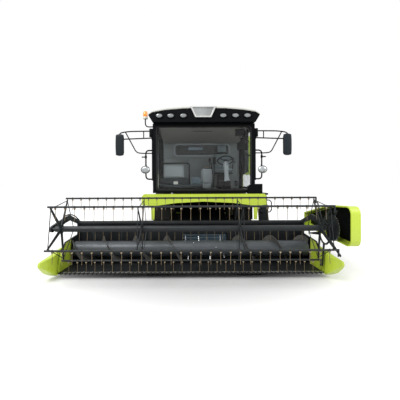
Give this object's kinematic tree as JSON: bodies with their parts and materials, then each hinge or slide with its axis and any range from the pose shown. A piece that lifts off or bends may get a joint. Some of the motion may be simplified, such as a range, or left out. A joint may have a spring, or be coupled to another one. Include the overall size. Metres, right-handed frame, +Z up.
{
  "type": "combine harvester",
  "caption": "Self-propelled grain combine with a cab, rigid cutting header, cross auger, pick-up reel with hanging tines, grain tank, unloading tube and rear steering.",
  "frame": {"origin": "on the ground, under the middle of the whole machine's outline", "axes": "+X to the machine's left, -Y the way it drives, +Z up"},
  "size_m": [5.06, 8.1458, 3.29],
  "materials": {
    "black_paint": "satin",
    "bright_steel": "polished",
    "cab_grey": "matte",
    "cast_iron": "painted",
    "dark_steel": "satin",
    "glass": "clear",
    "light_grey": "satin",
    "lime_paint": "satin gloss",
    "rim_paint": "satin",
    "roof_white": "satin moulded",
    "seat_fabric": "woven",
    "tine_wire": "satin",
    "tyre_rubber": "matte"
  },
  "bodies": {
    "chassis": {"boarding_platform": "dark_steel", "cab_cowl": "lime_paint", "cab_frame": "black_paint", "chassis_frame": "dark_steel", "corner_locker": "black_paint", "engine_block": "cast_iron", "engine_deck": "lime_paint", "front_axle": "cast_iron", "grain_tank": "lime_paint", "mirror_left": "black_paint", "mirror_right": "black_paint", "operator_console": "cab_grey", "operator_seat": "seat_fabric", "rear_axle": "cast_iron", "roof_cap": "roof_white", "roof_fascia": "black_paint", "side_window": "glass", "steering_column": "light_grey", "straw_hood": "lime_paint", "threshing_housing": "lime_paint", "unloading_turret": "lime_paint", "windshield": "glass"},
    "front_wheel_left": {"front_left_rim": "rim_paint", "front_left_tyre": "tyre_rubber"},
    "front_wheel_right": {"front_right_rim": "rim_paint", "front_right_tyre": "tyre_rubber"},
    "knuckle_left": {"knuckle_left": "cast_iron"},
    "rear_wheel_left": {"rear_left_rim": "rim_paint", "rear_left_tyre": "tyre_rubber"},
    "knuckle_right": {"knuckle_right": "cast_iron"},
    "rear_wheel_right": {"rear_right_rim": "rim_paint", "rear_right_tyre": "tyre_rubber"},
    "tie_rod": {"tie_rod": "cast_iron"},
    "side_shield_left": {"side_shield_left": "lime_paint"},
    "side_shield_right": {"side_shield_right": "lime_paint"},
    "unloading_tube": {"unloading_tube": "lime_paint"},
    "cab_door": {"cab_door": "black_paint", "cab_door_glass": "glass"},
    "steering_wheel": {"steering_wheel": "black_paint"},
    "header_lift": {"divider_left": "lime_paint", "divider_right": "lime_paint", "feeder_house": "black_paint", "header_frame": "dark_steel"},
    "header_auger": {"header_auger": "dark_steel"},
    "reel_lift": {"drive_shield": "lime_paint", "reel_arms": "dark_steel"},
    "reel": {"reel_frame": "dark_steel"},
    "eccentric": {"eccentric_spider": "dark_steel"},
    "bat_1": {"bat_1": "tine_wire"},
    "bat_2": {"bat_2": "tine_wire"},
    "bat_3": {"bat_3": "tine_wire"},
    "bat_4": {"bat_4": "tine_wire"},
    "bat_5": {"bat_5": "tine_wire"},
    "header_lift_left_barrel": {"header_lift_left_barrel": "black_paint"},
    "header_lift_left_rod": {"header_lift_left_rod": "bright_steel"},
    "header_lift_right_barrel": {"header_lift_right_barrel": "black_paint"},
    "header_lift_right_rod": {"header_lift_right_rod": "bright_steel"}
  },
  "joints": [
    {"name": "front_wheel_left_spin", "type": "hinge", "parent": "chassis", "child": "front_wheel_left", "pos_m": [1.26, -0.47711, 0.69], "axis": [1, 0, 0], "continuous": true},
    {"name": "front_wheel_right_spin", "type": "hinge", "parent": "chassis", "child": "front_wheel_right", "pos_m": [-0.8, -0.47711, 0.69], "axis": [1, 0, 0], "continuous": true},
    {"name": "steer_left", "type": "hinge", "parent": "chassis", "child": "knuckle_left", "pos_m": [0.91, 2.82289, 0.48], "axis": [0, 0, 1], "range_deg": [-30, 30]},
    {"name": "steer_right", "type": "hinge", "parent": "chassis", "child": "knuckle_right", "pos_m": [-0.45, 2.82289, 0.48], "axis": [0, 0, 1], "range_deg": [-30, 30]},
    {"name": "rear_wheel_left_spin", "type": "hinge", "parent": "knuckle_left", "child": "rear_wheel_left", "pos_m": [1.18, 2.82289, 0.48], "axis": [1, 0, 0], "continuous": true},
    {"name": "rear_wheel_right_spin", "type": "hinge", "parent": "knuckle_right", "child": "rear_wheel_right", "pos_m": [-0.72, 2.82289, 0.48], "axis": [1, 0, 0], "continuous": true},
    {"name": "tie_rod_pin", "type": "hinge", "parent": "knuckle_left", "child": "tie_rod", "pos_m": [0.91, 3.07289, 0.335], "axis": [0, 0, 1], "range_deg": [-30, 30]},
    {"name": "steering_wheel_turn", "type": "hinge", "parent": "chassis", "child": "steering_wheel", "pos_m": [0.75, -1.77711, 2.15], "axis": [0, 0.4695, 0.8829], "continuous": true},
    {"name": "cab_door_hinge", "type": "hinge", "parent": "chassis", "child": "cab_door", "pos_m": [1.338, -0.78011, 2.2], "axis": [0, 0, 1], "range_deg": [0, 95]},
    {"name": "side_shield_left_hinge", "type": "hinge", "parent": "chassis", "child": "side_shield_left", "pos_m": [1.54, 1.49289, 1.96], "axis": [0, -1, 0], "range_deg": [0, 75]},
    {"name": "side_shield_right_hinge", "type": "hinge", "parent": "chassis", "child": "side_shield_right", "pos_m": [-1.08, 1.49289, 1.96], "axis": [0, 1, 0], "range_deg": [0, 75]},
    {"name": "unloading_tube_swing", "type": "hinge", "parent": "chassis", "child": "unloading_tube", "pos_m": [1.65969, -0.12711, 2.88], "axis": [0, 0, -1], "range_deg": [0, 90]},
    {"name": "header_lift_hinge", "type": "hinge", "parent": "chassis", "child": "header_lift", "pos_m": [0.23, -0.82711, 1.1], "axis": [-1, 0, 0], "range_deg": [0, 16]},
    {"name": "header_auger_spin", "type": "hinge", "parent": "header_lift", "child": "header_auger", "pos_m": [-0.06, -2.77711, 0.355], "axis": [1, 0, 0], "continuous": true},
    {"name": "reel_lift_hinge", "type": "hinge", "parent": "header_lift", "child": "reel_lift", "pos_m": [-0.06, -2.34711, 0.8], "axis": [-1, 0, 0], "range_deg": [0, 16]},
    {"name": "reel_spin", "type": "hinge", "parent": "reel_lift", "child": "reel", "pos_m": [-0.06, -3.54711, 0.865], "axis": [1, 0, 0], "continuous": true},
    {"name": "eccentric_spin", "type": "hinge", "parent": "reel_lift", "child": "eccentric", "pos_m": [-0.06, -3.54711, 0.775], "axis": [1, 0, 0], "continuous": true},
    {"name": "bat_1_turn", "type": "hinge", "parent": "reel", "child": "bat_1", "pos_m": [-0.06, -4.05321, 0.61157], "axis": [1, 0, 0], "continuous": true},
    {"name": "bat_2_turn", "type": "hinge", "parent": "reel", "child": "bat_2", "pos_m": [-0.06, -3.94453, 1.26801], "axis": [1, 0, 0], "continuous": true},
    {"name": "bat_3_turn", "type": "hinge", "parent": "reel", "child": "bat_3", "pos_m": [-0.06, -3.28664, 1.3675], "axis": [1, 0, 0], "continuous": true},
    {"name": "bat_4_turn", "type": "hinge", "parent": "reel", "child": "bat_4", "pos_m": [-0.06, -2.98871, 0.77256], "axis": [1, 0, 0], "continuous": true},
    {"name": "bat_5_turn", "type": "hinge", "parent": "reel", "child": "bat_5", "pos_m": [-0.06, -3.46248, 0.30536], "axis": [1, 0, 0], "continuous": true},
    {"name": "header_cylinder_left_swing", "type": "hinge", "parent": "chassis", "child": "header_lift_left_barrel", "pos_m": [0.855, -0.69211, 0.6], "axis": [-1, 0, 0], "range_deg": [-1, 14.99]},
    {"name": "header_cylinder_left_stroke", "type": "slide", "parent": "header_lift_left_barrel", "child": "header_lift_left_rod", "axis": [0, -0.9961, -0.0878], "range_m": [-0.003, 0.14083]},
    {"name": "header_cylinder_right_swing", "type": "hinge", "parent": "chassis", "child": "header_lift_right_barrel", "pos_m": [-0.395, -0.69211, 0.6], "axis": [-1, 0, 0], "range_deg": [-1, 14.99]},
    {"name": "header_cylinder_right_stroke", "type": "slide", "parent": "header_lift_right_barrel", "child": "header_lift_right_rod", "axis": [0, -0.9961, -0.0878], "range_m": [-0.003, 0.14083]}
  ],
  "couplings": [
    {"joint": "steer_right", "follows": "steer_left", "ratio": 1},
    {"joint": "tie_rod_pin", "follows": "steer_left", "ratio": -1},
    {"joint": "eccentric_spin", "follows": "reel_spin", "ratio": 1},
    {"joint": "bat_1_turn", "follows": "reel_spin", "ratio": -1},
    {"joint": "bat_2_turn", "follows": "reel_spin", "ratio": -1},
    {"joint": "bat_3_turn", "follows": "reel_spin", "ratio": -1},
    {"joint": "bat_4_turn", "follows": "reel_spin", "ratio": -1},
    {"joint": "bat_5_turn", "follows": "reel_spin", "ratio": -1},
    {"joint": "header_cylinder_left_swing", "follows": "header_lift_hinge", "ratio": 0.87458},
    {"joint": "header_cylinder_left_stroke", "follows": "header_lift_hinge", "m_per_rad": 0.49356},
    {"joint": "header_cylinder_right_swing", "follows": "header_lift_hinge", "ratio": 0.87458},
    {"joint": "header_cylinder_right_stroke", "follows": "header_lift_hinge", "m_per_rad": 0.49356}
  ]
}
